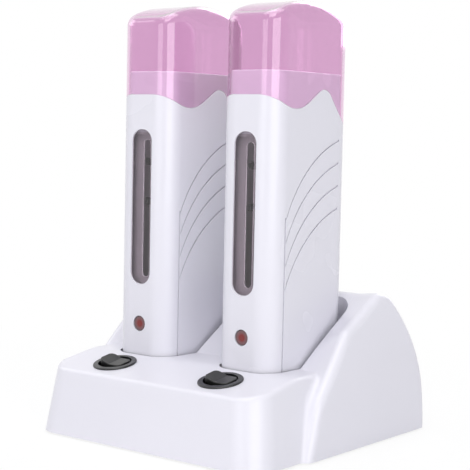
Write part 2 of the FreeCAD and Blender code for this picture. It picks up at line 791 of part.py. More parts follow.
def make_bezel(name, x):
    """Flanged cup that snaps into the deck; its floor carries the terminals."""
    body = new_body(name + "_switch_bezel")
    sketch = new_sketch(body, "XY", "flange")
    circle(sketch, 0, 0, d.bezel_radius)
    pad(body, sketch, d.bezel_thickness)
    top = d.bezel_thickness
    round_edges(body, 0.7, flat_at(top), "rim")
    sketch = new_sketch(body, "XY", "barrel")
    circle(sketch, 0, 0, d.barrel_radius)
    pad(body, sketch, d.barrel_depth, back=True)
    sketch = new_sketch(body, "XY", "well", top)
    circle(sketch, 0, 0, d.rocker_well)
    pocket(body, sketch, d.bezel_thickness + d.barrel_depth - 1.5)
    sketch = new_sketch(body, "XZ", "axle_holes")
    circle(sketch, 0, -d.axle_drop, d.axle_radius + d.axle_gap)
    pocket(body, sketch, d.rocker_well * 2 + 2, symmetric=True)
    lay_on_deck(body, x)


def make_rocker(name, x):
    """Rocker with a dished top and an axle stub on either side; its left end is up."""
    body = new_body(name + "_rocker")
    half = d.rocker_length / 2
    side = d.rocker_width / 2
    low = -3.0 * d.axle_radius / 1.2
    sketch = new_sketch(body, "XY", "outline", low)
    rounded_rectangle(sketch, -half, -side, half, side, d.rocker_width * 0.28)
    pad(body, sketch, d.rocker_height - low)
    sketch = new_sketch(body, "XZ", "dish")
    high = d.rocker_height
    polygon(sketch, [(0, high - d.rocker_dip), (half + 1, high), (half + 1, high + 2),
                     (-half - 1, high + 2), (-half - 1, high)])
    pocket(body, sketch, d.rocker_width + 2, symmetric=True)
    round_edges(body, 0.5, lambda e: e.BoundBox.ZMin > number(high - d.rocker_dip) - 0.1
                and not (near(e.BoundBox.XMin, 0) and near(e.BoundBox.XMax, 0)), "top")
    sketch = new_sketch(body, "XZ", "axle")
    circle(sketch, 0, 0, d.axle_radius)
    pad(body, sketch, d.rocker_well * 2 + 1.4, symmetric=True)
    lay_on_deck(body, x, number(d.rocker_tilt))
    body.setExpression("Placement.Base.y",
                       "%s - %s * cos(dim.deck_tilt * 1 deg) + %s * sin(dim.deck_tilt * 1 deg)"
                       % (formula(heater_front), formula(d.switch_reach), formula(d.axle_drop)))
    body.setExpression("Placement.Base.z",
                       "dim.deck_level - %s * sin(dim.deck_tilt * 1 deg) - %s * cos(dim.deck_tilt * 1 deg)"
                       % (formula(d.switch_reach), formula(d.axle_drop)))


def make_terminals(name, x):
    """Three blades under the switch's floor."""
    body = new_body(name + "_switch_terminals")
    sketch = new_sketch(body, "XY", "blades", -d.barrel_depth)
    for place in (-6, 0, 6):
        near_side = Measure(place - 0.4, repr(place - 0.4))
        far_side = Measure(place + 0.4, repr(place + 0.4))
        rectangle(sketch, near_side, -2.4, far_side, 2.4)
    pad(body, sketch, 8, back=True)
    sketch = new_sketch(body, "YZ", "eyes")
    circle(sketch, 0, -d.barrel_depth - 6, 0.8)
    pocket(body, sketch, 20, symmetric=True)
    lay_on_deck(body, x)


# ---- Contacts under each pocket -------------------------------------------------------------

def make_dock_block(name, x):
    """Insulating block under the pocket's floor; its boss fills the hole in the floor."""
    body = new_body(name + "_dock_block", x, heater_middle)
    under = pocket_floor - d.base_wall
    wide = d.dock_width / 2
    deep = d.block_depth / 2
    sketch = new_sketch(body, "XY", "block", under)
    rectangle(sketch, -wide, -deep - 3, wide, deep + 3)
    pad(body, sketch, 8, back=True)
    sketch = new_sketch(body, "XY", "boss", under)
    half = d.block_width / 2 - 0.2
    rectangle(sketch, -half, -deep + 0.2, half, deep - 0.2)
    pad(body, sketch, d.base_wall)
    sketch = new_sketch(body, "XY", "pin_holes", pocket_floor)
    for sign in (-1, 1):
        circle(sketch, d.pin_spacing * (sign / 2), 0, d.pin_radius + 0.05)
    pocket(body, sketch, d.base_wall + 8)


def make_dock_pins(name, x):
    """Two contact pins that stand up into the pocket, with heads under the block."""
    body = new_body(name + "_dock_pins", x, heater_middle)
    bottom = pocket_floor - d.base_wall - 8
    sketch = new_sketch(body, "XY", "pins", bottom)
    for sign in (-1, 1):
        circle(sketch, d.pin_spacing * (sign / 2), 0, d.pin_radius)
    pad(body, sketch, d.base_wall + 8 + d.pin_reach)
    round_edges(body, 0.8, flat_at(pocket_floor + d.pin_reach))
    sketch = new_sketch(body, "XY", "heads", bottom)
    for sign in (-1, 1):
        circle(sketch, d.pin_spacing * (sign / 2), 0, d.pin_radius + 1)
    pad(body, sketch, 2, back=True)


# ---- Hand-held heaters ----------------------------------------------------------------------

def seam_corners(offset):
    """Corners of the wavy seam in side view, before rounding, moved up by offset."""
    fall = (d.seam_front - d.valley_level) / d.valley_depth
    ahead = -half_depth
    low_y = ahead + d.valley_depth
    low_z = d.valley_level - 2.2 + offset
    high_y = ahead + d.peak_depth
    high_z = d.peak_level + 3.0 + offset
    flat_y = ahead + d.peak_depth + 18.5
    flat_z = d.seam_rear + 1.5 + offset
    end_y = half_depth
    end_z = d.seam_rear - 1.5 + offset
    front_z = d.seam_front + 0.1 + offset
    out = 5.0
    steep = (front_z - low_z) / d.valley_depth
    gentle = (flat_z - end_z) / (end_y - flat_y)
    return [(ahead - out, front_z + steep * out), (low_y, low_z), (high_y, high_z), (flat_y, flat_z),
            (end_y + out, end_z - gentle * out)]


SEAM_ROUND = [("valley", 1), ("peak", 2), ("flat", 3)]


def wave_cut(body, name, offset, keep_below):
    """Cut a block along the seam and round its low point, its high point and its rear."""
    corners = seam_corners(offset)
    level = Measure(HIGH, repr(HIGH)) if keep_below else Measure(100.0, "100.0")
    sketch = new_sketch(body, "YZ", name)
    first, last = corners[0], corners[-1]
    polygon(sketch, corners + [(last[0], level), (first[0], level)])
    pocket(body, sketch, d.heater_width + 4, symmetric=True)
    for label, index in SEAM_ROUND:
        y, z = corners[index]
        radius = {"valley": d.valley_round, "peak": d.peak_round, "flat": Measure(16.0, "16.0")}[label]

        def on_corner(edge, y=y, z=z):
            bounds = edge.BoundBox
            return (near(bounds.YMin, y) and near(bounds.YMax, y)
                    and near(bounds.ZMin, z) and near(bounds.ZMax, z))

        round_edges(body, radius, on_corner, name + "_" + label)


def heater_block(body, inset, low, high):
    sketch = new_sketch(body, "XY", "block", low)
    section(sketch, inset)
    pad(body, sketch, high - low)


def arc_band(sketch, y0, z0, y1, z1, radius, width):
    """Curved slot between two equal arcs, one above the other."""
    start = Vector(number(y0), number(z0), 0)
    finish = Vector(number(y1), number(z1), 0)
    reach = number(radius)
    up = Vector(0, number(width), 0)
    first = sketch.GeometryCount
    half = (finish - start) * 0.5
    side = Vector(half.y, -half.x, 0).normalize()
    centre = start + half + side * math.sqrt(reach * reach - half.Length ** 2)
    turn0 = math.atan2(start.y - centre.y, start.x - centre.x)
    turn1 = math.atan2(finish.y - centre.y, finish.x - centre.x)
    normal = Vector(0, 0, 1)
    sketch.addGeometry(Part.ArcOfCircle(Part.Circle(centre, normal, reach), turn1, turn0))
    sketch.addGeometry(Part.ArcOfCircle(Part.Circle(centre + up, normal, reach), turn1, turn0))
    sketch.addGeometry(Part.LineSegment(start, start + up))
    sketch.addGeometry(Part.LineSegment(finish, finish + up))
    for pair in ((first, 2, first + 2, 1), (first + 1, 2, first + 2, 2), (first, 1, first + 3, 1),
                 (first + 1, 1, first + 3, 2)):
        sketch.addConstraint(Sketcher.Constraint("Coincident", *pair))
    hold_point(sketch, first + 2, 1, y0, z0)
    hold_point(sketch, first + 2, 2, y0, z0 + width)
    hold_point(sketch, first + 3, 1, y1, z1)
    hold_point(sketch, first + 3, 2, y1, z1 + width)
    hold(sketch, "Radius", first, size=radius)
    hold(sketch, "Radius", first + 1, size=radius)


def grip_grooves(body, hand):
    """Upright groove and a fan of curved grooves in the shell's side."""
    start = -half_depth + d.groove_inset
    sketch = new_sketch(body, "YZ", "grooves", hand * half_width)
    rectangle(sketch, start - 0.2 - d.groove_width, d.heater_foot - 5, start - 0.2, d.groove_level + 1.5)
    end = half_depth - d.heater_corner - 0.3
    for index in range(4):
        level = d.groove_level - d.groove_pitch * index
        arc_band(sketch, start, level, end, level + 46, d.groove_curve, d.groove_width)
    pocket(body, sketch, d.groove_depth, back=hand < 0)


SHELL_SCREWS = [(half_depth - 9.85, d.heater_foot + level) for level in (22, 80, 138)]
SHELL_SCREWS.append((14.6 - half_depth, d.heater_foot + 10.5))


def make_shell(label, hand, x):
    """Half of a heater's shell: hand is -1 for the left half and 1 for the right."""
    body = new_body(label, x, heater_middle)
    foot = d.heater_foot
    wall = d.heater_wall
    top = d.peak_level + 6
    ledge_top = collar_low - d.flange_thickness
    ledge_low = ledge_top - d.ledge_thickness
    heater_block(body, 0, foot, top)
    wave_cut(body, "seam", -d.seam_gap / 2, True)
    round_edges(body, 2.0, flat_at(foot), "foot")
    for name, level, inset, low in (("mouth", top, wall, ledge_top),
                                    ("ledge", ledge_top, wall + d.ledge_depth, ledge_low),
                                    ("inside", ledge_low, wall, foot + wall)):
        sketch = new_sketch(body, "XY", name, level)
        section(sketch, inset)
        pocket(body, sketch, level - low)
    reach = half_width - wall + 0.35
    sketch = new_sketch(body, "YZ", "bosses", 0 if hand > 0 else -reach)
    for y, z in SHELL_SCREWS:
        circle(sketch, y, z, 3.0)
    pad(body, sketch, reach)
    sketch = new_sketch(body, "YZ", "parting")
    rectangle(sketch, -half_depth - 5, foot - 5, half_depth + 5, top + 5)
    pocket(body, sketch, half_width + 5, back=hand < 0)
    sketch = new_sketch(body, "XY", "contact_opening", foot + wall)
    wide = d.block_width / 2 + 0.2
    deep = d.block_depth / 2 + 0.2
    rectangle(sketch, -wide, -deep, wide, deep)
    pocket(body, sketch, wall + 1)
    sketch = new_sketch(body, "XZ", "window_slot", half_depth)
    window_outline(sketch, 0)
    pocket(body, sketch, wall + 0.5)
    sketch = new_sketch(body, "XZ", "window_seat", half_depth - wall)
    lip = d.window_lip + 0.2
    rectangle(sketch, -d.window_width / 2 - lip, ledge_low - 1, d.window_width / 2 + lip, ledge_top + 1)
    pocket(body, sketch, d.ledge_depth + 0.5)
    sketch = new_sketch(body, "XZ", "lamp_hole", half_depth)
    circle(sketch, 0, d.lamp_level, d.lamp_hole)
    pocket(body, sketch, wall + 0.5)
    sketch = new_sketch(body, "YZ", "screw_holes")
    for y, z in SHELL_SCREWS:
        circle(sketch, y, z, d.screw_radius + d.screw_gap)
    pocket(body, sketch, 12.0 if hand > 0 else 22.0, back=hand > 0)
    if hand < 0:
        sketch = new_sketch(body, "YZ", "screw_seats", -half_width)
        for y, z in SHELL_SCREWS:
            circle(sketch, y, z, 2.7)
        pocket(body, sketch, half_width - 12.8, back=True)
    grip_grooves(body, hand)


def window_outline(sketch, inset):
    half = d.window_width / 2 - inset
    rounded_rectangle(sketch, -half, d.window_low + inset, half, d.window_high - inset,
                      d.window_corner - inset)


def make_shell_screws(name, x):
    """Screws that hold the halves of the shell together, put in from the left."""
    body = new_body(name + "_heater_shell_screws", x, heater_middle)
    for label, radius, start, length in (("heads", 2.4, -12.8, -2.0),
                                         ("shanks", d.screw_radius, -12.8, 22.8)):
        sketch = new_sketch(body, "YZ", label, start)
        for y, z in SHELL_SCREWS:
            circle(sketch, y, z, radius)
        pad(body, sketch, abs(length), back=length < 0)


def make_collar(name, x):
    """Mouth of the heater, standing on the well's flange, with a plate across its top."""
    body = new_body(name + "_heater_collar", x, heater_middle)
    foot = collar_low
    top = d.collar_top
    inset = d.heater_wall + d.collar_gap
    heater_block(body, inset, foot, top)
    round_edges(body, 0.8, flat_at(top), "rim")
    sketch = new_sketch(body, "XY", "inside", top - 2)
    section(sketch, inset + d.collar_wall)
    pocket(body, sketch, top - 2 - foot)
    sketch = new_sketch(body, "XY", "mouth", top)
    well_outline(sketch, d.well_wall + 0.2)
    pocket(body, sketch, 4)
    sketch = new_sketch(body, "XZ", "window_notch", half_depth)
    half = d.window_width / 2 + d.window_lip + 0.2
    rectangle(sketch, -half, foot - 2, half, d.window_high + d.window_lip + 0.3)
    pocket(body, sketch, d.heater_wall + d.window_lip_thickness + 0.2)


def well_outline(sketch, inset):
    half = d.well_width / 2 - inset
    near_side = -half_depth + d.well_front + inset
    far_side = -half_depth + d.well_front + d.well_depth - inset
    rounded_rectangle(sketch, -half, near_side, half, far_side, d.well_corner - inset)


def make_chamber(name, x):
    """Metal well for the wax cartridge, hung from the shell's ledge by its flange."""
    body = new_body(name + "_heater_chamber", x, heater_middle)
    floor = d.well_floor
    top = collar_low
    sketch = new_sketch(body, "XY", "well", floor)
    well_outline(sketch, 0)
    pad(body, sketch, top - floor)
    sketch = new_sketch(body, "XY", "flange", top - d.flange_thickness)
    section(sketch, d.heater_wall + d.collar_gap)
    pad(body, sketch, d.flange_thickness)
    sketch = new_sketch(body, "XY", "hollow", top)
    well_outline(sketch, d.well_wall)
    pocket(body, sketch, top - floor - d.well_wall)
    sketch = new_sketch(body, "XZ", "window_notch", half_depth)
    half = d.window_width / 2 + d.window_lip + 0.2
    rectangle(sketch, -half, top - d.flange_thickness - 1, half, top + 1)
    pocket(body, sketch, d.heater_wall + d.window_lip_thickness + 0.2)
    sketch = new_sketch(body, "XZ", "view_slot", half_depth)
    half = d.view_slot / 2
    rounded_rectangle(sketch, -half, d.window_low + 4, half, d.window_high - 6, half - 0.2)
    pocket(body, sketch, d.well_front + d.well_wall + 0.5)


def make_heating_plate(name, x):
    """Flat heating element on the rear wall of the well."""
    body = new_body(name + "_heater_heating_plate", x, heater_middle)
    back = -half_depth + d.well_front + d.well_depth
    sketch = new_sketch(body, "XZ", "plate", -back)
    rounded_rectangle(sketch, -12, d.well_floor + 22, 12, d.well_floor + 92, 1.5)
    pad(body, sketch, 4.2, back=True)


def make_thermostat(name, x):
    body = new_body(name + "_heater_thermostat", x, heater_middle)
    back = -half_depth + d.well_front + d.well_depth
    sketch = new_sketch(body, "XZ", "case", -back)
    rounded_rectangle(sketch, -9, d.well_floor + 4, 9, d.well_floor + 17, 1.5)
    pad(body, sketch, 4.2, back=True)


def make_window(name, x):
    """Clear window: its lip lies behind the shell's front and its face fills the slot."""
    body = new_body(name + "_heater_window", x, heater_middle)
    seat = half_depth - d.heater_wall
    sketch = new_sketch(body, "XZ", "lip", seat)
    window_outline(sketch, -d.window_lip)
    pad(body, sketch, d.window_lip_thickness, back=True)
    seat_at = -number(seat)
    round_edges(body, d.window_lip_thickness * 0.7,
                lambda e: near(e.BoundBox.YMin, seat_at) and near(e.BoundBox.YMax, seat_at), "lip_rim")
    sketch = new_sketch(body, "XZ", "face", seat)
    window_outline(sketch, d.window_gap)
    face = half_depth - d.window_recess
    pad(body, sketch, face - seat)
    round_edges(body, 0.6, lambda e: near(e.BoundBox.YMin, -face) and near(e.BoundBox.YMax, -face), "rim")


def make_indicator_lens(name, x):
    """Lens of the indicator, with a flange behind the shell's front and a sleeve for the lamp."""
    body = new_body(name + "_heater_indicator_lens", x, heater_middle, d.lamp_level)
    seat = half_depth - d.heater_wall
    face = half_depth - 0.3
    sketch = new_sketch(body, "XZ", "disc", seat)
    circle(sketch, 0, 0, d.lamp_hole - d.lamp_gap)
    pad(body, sketch, face - seat)
    round_edges(body, 0.5, lambda e: near(e.BoundBox.YMin, -face) and near(e.BoundBox.YMax, -face), "rim")
    sketch = new_sketch(body, "XZ", "flange", seat)
    circle(sketch, 0, 0, d.lamp_hole + 0.9)
    pad(body, sketch, 1.0, back=True)
    sketch = new_sketch(body, "XZ", "sleeve", seat - 1)
    circle(sketch, 0, 0, d.lamp_radius + 1.1)
    pad(body, sketch, 7, back=True)
    sketch = new_sketch(body, "XZ", "bore", seat - 8)
    circle(sketch, 0, 0, d.lamp_radius + 0.3)
    pocket(body, sketch, 7.3, back=True)


def make_lamp(name, x):
    """Glow lamp in the lens's sleeve; its base bears on the sleeve's end."""
    body = new_body(name + "_heater_indicator_lamp", x, heater_middle, d.lamp_level)
    end = half_depth - d.heater_wall - 8
    sketch = new_sketch(body, "XZ", "base", end)
    circle(sketch, 0, 0, d.lamp_radius + 1.1)
    pad(body, sketch, 3, back=True)
    sketch = new_sketch(body, "XZ", "bulb", end)
    circle(sketch, 0, 0, d.lamp_radius)
    pad(body, sketch, 6)
    tip = end + 6
    round_edges(body, d.lamp_radius * 0.8,
                lambda e: near(e.BoundBox.YMin, -tip) and near(e.BoundBox.YMax, -tip), "tip")


def make_contact_block(name, x):
    """Insulating block in the heater's foot; its flange stands on the shell's floor."""
    body = new_body(name + "_heater_contact_block", x, heater_middle)
    floor = d.heater_foot + d.heater_wall
    wide = d.block_width / 2
    deep = d.block_depth / 2
    sketch = new_sketch(body, "XY", "flange", floor)
    rectangle(sketch, -wide - 2, -deep - 2, wide + 2, deep + 2)
    pad(body, sketch, d.block_height - d.heater_wall - 2)
    sketch = new_sketch(body, "XY", "boss", floor)
    rectangle(sketch, -wide, -deep, wide, deep)
    pad(body, sketch, d.heater_wall - 0.5, back=True)
    sketch = new_sketch(body, "XY", "bores", floor + d.block_height)
    for sign in (-1, 1):
        circle(sketch, d.pin_spacing * (sign / 2), 0, d.sleeve_radius + 0.05)
    pocket(body, sketch, d.block_height + d.heater_wall)


def make_sleeves(name, x):
    """Two spring sleeves that take the pins of the base, hung in the block by their rims."""
    body = new_body(name + "_heater_contact_sleeves", x, heater_middle)
    floor = d.heater_foot + d.heater_wall
    top = floor + d.block_height - d.heater_wall - 2
    sketch = new_sketch(body, "XY", "sleeves", floor - 1)
    for sign in (-1, 1):
        circle(sketch, d.pin_spacing * (sign / 2), 0, d.sleeve_radius)
    pad(body, sketch, top - floor + 1)
    sketch = new_sketch(body, "XY", "rims", top)
    for sign in (-1, 1):
        circle(sketch, d.pin_spacing * (sign / 2), 0, d.sleeve_radius + 0.9)
    pad(body, sketch, 1)
    sketch = new_sketch(body, "XY", "bores", floor - 1)
    for sign in (-1, 1):
        circle(sketch, d.pin_spacing * (sign / 2), 0, d.sleeve_bore)
    pocket(body, sketch, d.pin_reach + 2, back=True)


def cap_block(body, inset):
    """The cap's outer form, or with an inset the room inside it."""
    low = d.valley_level - 30
    top = d.cap_top - inset
    heater_block(body, inset, low, top + 5)
    sketch = new_sketch(body, "YZ", "arch")
    half = half_depth
    crown = d.cap_crown
    curve = (half * half + crown * crown) / (crown * 2) - inset
    reach = half + 4
    drop = curve - root(curve * curve - reach * reach)
    end = top - drop
    first = sketch.GeometryCount
    y, z = number(reach), number(end)
    high = number(top) + 10
    middle = number(top) - number(curve)
    turn = math.atan2(z - middle, y)
    centre = Vector(0, middle, 0)
    arch = Part.Circle(centre, Vector(0, 0, 1), number(curve))
    sketch.addGeometry(Part.ArcOfCircle(arch, turn, math.pi - turn))
    corners = [Vector(-y, z, 0), Vector(-y, high, 0), Vector(y, high, 0), Vector(y, z, 0)]
    for index in range(3):
        sketch.addGeometry(Part.LineSegment(corners[index], corners[index + 1]))
    for pair in ((first, 2, first + 1, 1), (first + 1, 2, first + 2, 1), (first + 2, 2, first + 3, 1),
                 (first + 3, 2, first, 1)):
        sketch.addConstraint(Sketcher.Constraint("Coincident", *pair))
    hold_point(sketch, first + 1, 1, -reach, end)
    hold_point(sketch, first + 1, 2, -reach, top + 10)
    hold_point(sketch, first + 3, 1, reach, top + 10)
    hold_point(sketch, first + 3, 2, reach, end)
    hold(sketch, "Radius", first, size=curve)
    pocket(body, sketch, d.heater_width + 4, symmetric=True)
    round_edges(body, d.cap_edge - inset,
                lambda e: e.BoundBox.ZMin > number(top) - number(crown) - 3, "top")


def make_cap(name, x):
    """Clear cap over the heater's mouth: an outer form less the room inside it."""
    label = name + "_cap"
    outer = new_body(label + "_outside")
    parts.remove(outer)
    cap_block(outer, 0)
    wave_cut(outer, "seam", d.seam_gap / 2, False)
    inner = new_body(label + "_inside")
    parts.remove(inner)
    cap_block(inner, d.cap_wall)
    cap = doc.addObject("Part::Cut", label)
    cap.Label = label
    cap.Base = outer
    cap.Tool = inner
    for axis, distance in zip("xy", (x, heater_middle)):
        cap.setExpression("Placement.Base." + axis, formula(distance))
    parts.append(cap)


for name, side in SIDES.items():
    x = side * d.heater_pitch / 2
    make_bezel(name, side * d.switch_spread)
    make_rocker(name, side * d.switch_spread)
    make_terminals(name, side * d.switch_spread)
    make_dock_block(name, x)
    make_dock_pins(name, x)
    for half_name, hand in SIDES.items():
        make_shell("%s_heater_%s_shell" % (name, half_name), hand, x)
    make_shell_screws(name, x)
    make_collar(name, x)
    make_chamber(name, x)
    make_heating_plate(name, x)
    make_thermostat(name, x)
    make_window(name, x)
    make_indicator_lens(name, x)
    make_lamp(name, x)
    make_contact_block(name, x)
    make_sleeves(name, x)
    make_cap(name, x)

doc.recompute()
for item in doc.Objects:
    if "Invalid" in item.State or "Error" in item.State:
        raise ValueError(item.Name + " did not build")
os.makedirs("parts", exist_ok=True)
for part in parts:
    if part.Shape.isNull() or not part.Shape.isValid() or part.Shape.Volume < 1e-3:
        raise ValueError(part.Label + " has no valid shape")
    part.Shape.exportStep("parts/%s.step" % part.Label)
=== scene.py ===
import bmesh
import bpy
import math
from mathutils import Matrix, Vector


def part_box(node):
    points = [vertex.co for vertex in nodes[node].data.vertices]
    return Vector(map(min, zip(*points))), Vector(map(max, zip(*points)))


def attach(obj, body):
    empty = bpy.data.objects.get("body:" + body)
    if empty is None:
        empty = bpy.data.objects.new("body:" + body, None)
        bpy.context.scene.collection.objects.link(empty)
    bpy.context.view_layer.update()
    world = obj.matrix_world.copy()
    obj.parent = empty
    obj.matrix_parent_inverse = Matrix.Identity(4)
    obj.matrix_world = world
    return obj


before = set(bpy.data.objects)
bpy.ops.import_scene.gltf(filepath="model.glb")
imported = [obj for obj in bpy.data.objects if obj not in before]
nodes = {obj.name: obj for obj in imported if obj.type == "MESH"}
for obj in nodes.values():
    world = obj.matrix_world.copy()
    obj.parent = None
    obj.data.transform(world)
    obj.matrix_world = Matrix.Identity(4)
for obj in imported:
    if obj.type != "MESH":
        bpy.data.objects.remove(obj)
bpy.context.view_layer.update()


# ---- Base housing ----
# One white plastic moulding: a low deck in front, and behind it a housing that rises in two
# wings round the heaters. Its large faces are glossy, with the faint unevenness of moulding.

WHITE = (0.755, 0.745, 0.81)
# Painted shade darkens the white in narrow gaps of the moulding, such as round the heaters in
# their pockets and round the switch cups; this is how far it looks for a closing surface.
PAINTED_SHADE_REACH = 0.0035  # in metres, as are all lengths but the camera's


def new_material(name):
    """A new material, with its node tree and its main shader."""
    material = bpy.data.materials.new(name)
    material.use_nodes = True
    tree = material.node_tree
    return material, tree, tree.nodes["Principled BSDF"]


def noise(tree, scale, detail=2.0, stretch=None):
    """A pattern of noise that is fixed to the piece, with its axes scaled by stretch."""
    place = tree.nodes.new("ShaderNodeTexCoord").outputs["Object"]
    if stretch:
        mapping = tree.nodes.new("ShaderNodeMapping")
        mapping.inputs["Scale"].default_value = stretch
        tree.links.new(place, mapping.inputs["Vector"])
        place = mapping.outputs["Vector"]
    pattern = tree.nodes.new("ShaderNodeTexNoise")
    pattern.inputs["Scale"].default_value = scale
    pattern.inputs["Detail"].default_value = detail
    tree.links.new(place, pattern.inputs["Vector"])
    return pattern.outputs["Fac"]


def ramp(tree, source, start, low, end, high):
    """Colour that runs from low, where the source is at start, to high, where it is at end."""
    node = tree.nodes.new("ShaderNodeValToRGB")
    first, last = node.color_ramp.elements
    first.position = start
    first.color = (*low, 1)
    last.position = end
    last.color = (*high, 1)
    tree.links.new(source, node.inputs["Fac"])
    return node


def mottle(tree, pattern, colour, darkest, start=0.0, end=1.0):
    """The colour, with patches that go down to the darkest share of it."""
    return ramp(tree, pattern, start, [part * darkest for part in colour], end, colour)


def vary_gloss(tree, pattern, low, high):
    """Roughness that runs between two limits with the pattern."""
    spread = tree.nodes.new("ShaderNodeMapRange")
    spread.inputs["To Min"].default_value = low
    spread.inputs["To Max"].default_value = high
    tree.links.new(pattern, spread.inputs["Value"])
    tree.links.new(spread.outputs["Result"], tree.nodes["Principled BSDF"].inputs["Roughness"])


def emboss(tree, pattern, strength, depth):
    """Bumps that follow the pattern; depth is in metres."""
    bump = tree.nodes.new("ShaderNodeBump")
    bump.inputs["Strength"].default_value = strength
    bump.inputs["Distance"].default_value = depth
    tree.links.new(pattern, bump.inputs["Height"])
    tree.links.new(bump.outputs["Normal"], tree.nodes["Principled BSDF"].inputs["Normal"])


def white_plastic(name, roughness, painted_gap_shade=1.0):
    """Glossy white plastic; its colour and gloss vary a little, and painted shade darkens its
    colour in narrow gaps, down to the given gap shade.
    """
    material, tree, shader = new_material(name)
    shader.inputs["IOR"].default_value = 1.5
    shader.inputs["Specular IOR Level"].default_value = 0.4
    shader.inputs["Coat Weight"].default_value = 0.12
    shader.inputs["Coat Roughness"].default_value = 0.1
    clouds = noise(tree, scale=9.0, detail=3.0)
    tint = mottle(tree, clouds, WHITE, darkest=0.975, start=0.15, end=0.85)
    tint.color_ramp.interpolation = "EASE"
    # Painted shade: where ambient occlusion finds the surface closed in, its base colour is
    # darkened.
    openness = tree.nodes.new("ShaderNodeAmbientOcclusion")
    openness.samples = 8
    openness.inputs["Distance"].default_value = PAINTED_SHADE_REACH
    shade = ramp(tree, openness.outputs["AO"], start=0.08, low=(painted_gap_shade,) * 3,
                 end=0.5, high=(1, 1, 1))
    shaded = tree.nodes.new("ShaderNodeMix")
    shaded.data_type = "RGBA"
    shaded.blend_type = "MULTIPLY"
    shaded.inputs["Factor"].default_value = 1.0
    tree.links.new(tint.outputs["Color"], shaded.inputs["A"])
    tree.links.new(shade.outputs["Color"], shaded.inputs["B"])
    tree.links.new(shaded.outputs["Result"], shader.inputs["Base Color"])
    vary_gloss(tree, clouds, low=roughness - 0.03, high=roughness + 0.03)
    emboss(tree, noise(tree, scale=35.0), strength=0.04, depth=0.0006)
    return material


def dress(name, material):
    """Give a node its material."""
    node = nodes[name]
    node.data.materials.clear()
    node.data.materials.append(material)


# The housing's narrow gaps get a strong painted shade.
dress("base_shell", white_plastic("white_moulding", roughness=0.3, painted_gap_shade=0.12))


# ---- Bottom plate, feet and screws ----
# A pale grey moulded plate that closes the housing from below. Four zinc-plated screws hold it
# up against the housing's bosses, and four soft rubber feet are let into its underside.

def rough_finish(name, colour, roughness, grain, depth, metal=0.0):
    """A fine even grain, for matt plastic, rubber, and plain metal."""
    material, tree, shader = new_material(name)
    shader.inputs["Metallic"].default_value = metal
    specks = noise(tree, grain, detail=4.0)
    tint = mottle(tree, specks, colour, darkest=0.88, start=0.35, end=0.65)
    tree.links.new(tint.outputs["Color"], shader.inputs["Base Color"])
    vary_gloss(tree, specks, low=roughness - 0.08, high=roughness + 0.08)
    emboss(tree, specks, strength=0.3, depth=depth)
    return material


grey = rough_finish("grey_moulding", (0.56, 0.56, 0.60), roughness=0.5, grain=1500, depth=0.00005)
rubber = rough_finish("black_rubber", (0.02, 0.02, 0.02), roughness=0.7, grain=1200, depth=0.0001)
steel = rough_finish("zinc_steel", (0.55, 0.55, 0.57), roughness=0.35, grain=900, depth=0.00003,
                     metal=1.0)
dress("base_plate", grey)
dress("rubber_feet", rubber)
dress("base_screws", steel)


# ---- Mains inlet ----
# A black plastic socket that is snapped into the rear wall, with two nickel-plated pins pressed
# into its floor for a loose mains lead.

inlet_black = rough_finish("black_moulding", (0.02, 0.02, 0.021), roughness=0.45, grain=1600,
                           depth=0.00004)
nickel = rough_finish("nickel_plate", (0.62, 0.60, 0.56), roughness=0.2, grain=700, depth=0.00002,
                      metal=1.0)
dress("power_inlet", inlet_black)
dress("inlet_pins", nickel)


# ---- Switches and docks ----
# For each heater, a glossy black cup snapped into the deck carries a black rocker with a dished
# top, over brass terminals. Under each pocket a dark block holds the two pins of its dock.

SIDES = ("left", "right")


def black_gloss(name, colour, roughness):
    """Moulded black with a thin sheen."""
    material = rough_finish(name, colour, roughness, grain=300, depth=0.00004)
    shader = material.node_tree.nodes["Principled BSDF"]
    shader.inputs["Coat Weight"].default_value = 0.15
    shader.inputs["Coat Roughness"].default_value = 0.15
    return material


bezel_black = black_gloss("bezel_black", (0.006, 0.006, 0.008), roughness=0.38)
rocker_black = black_gloss("rocker_black", (0.005, 0.005, 0.005), roughness=0.42)
brass = rough_finish("bare_brass", (0.72, 0.52, 0.20), roughness=0.3, grain=800, depth=0.00002,
                     metal=1.0)
insulator = rough_finish("dark_insulator", (0.06, 0.06, 0.065), roughness=0.55, grain=1200,
                         depth=0.00005)
for side in SIDES:
    dress(side + "_switch_bezel", bezel_black)
    dress(side + "_rocker", rocker_black)
    dress(side + "_switch_terminals", brass)
    dress(side + "_dock_block", insulator)
    dress(side + "_dock_pins", nickel)


# ---- Heater shells and collars ----
# Two glossy white plastic halves that meet on the heater's middle plane and are held by screws
# from the left. The collar, of the same plastic, is the heater's mouth inside the cap.

# The shells get a faint painted shade in narrow gaps; the collars get none.
shell_white = white_plastic("shell_white", roughness=0.27, painted_gap_shade=0.72)
collar_white = white_plastic("collar_white", roughness=0.27)
for side in SIDES:
    for half in SIDES:
        dress("%s_heater_%s_shell" % (side, half), shell_white)
    dress(side + "_heater_collar", collar_white)
    dress(side + "_heater_shell_screws", steel)


# ---- Heating wells ----
# A drawn aluminium well for the cartridge, hung from the shell by its flange. The aluminium
# heating plate lies against its rear wall, with a thermostat in a black plastic case.

def drawn_metal(name, colour, roughness, metal=1.0):
    """Aluminium with fine lines that run up the wall; a dull skin shows less as metal."""
    material, tree, shader = new_material(name)
    shader.inputs["Metallic"].default_value = metal
    lines = noise(tree, scale=1.0, stretch=(900, 900, 12))
    tint = mottle(tree, lines, colour, darkest=0.85)
    tree.links.new(tint.outputs["Color"], shader.inputs["Base Color"])
    vary_gloss(tree, lines, low=roughness - 0.08, high=roughness + 0.08)
    return material


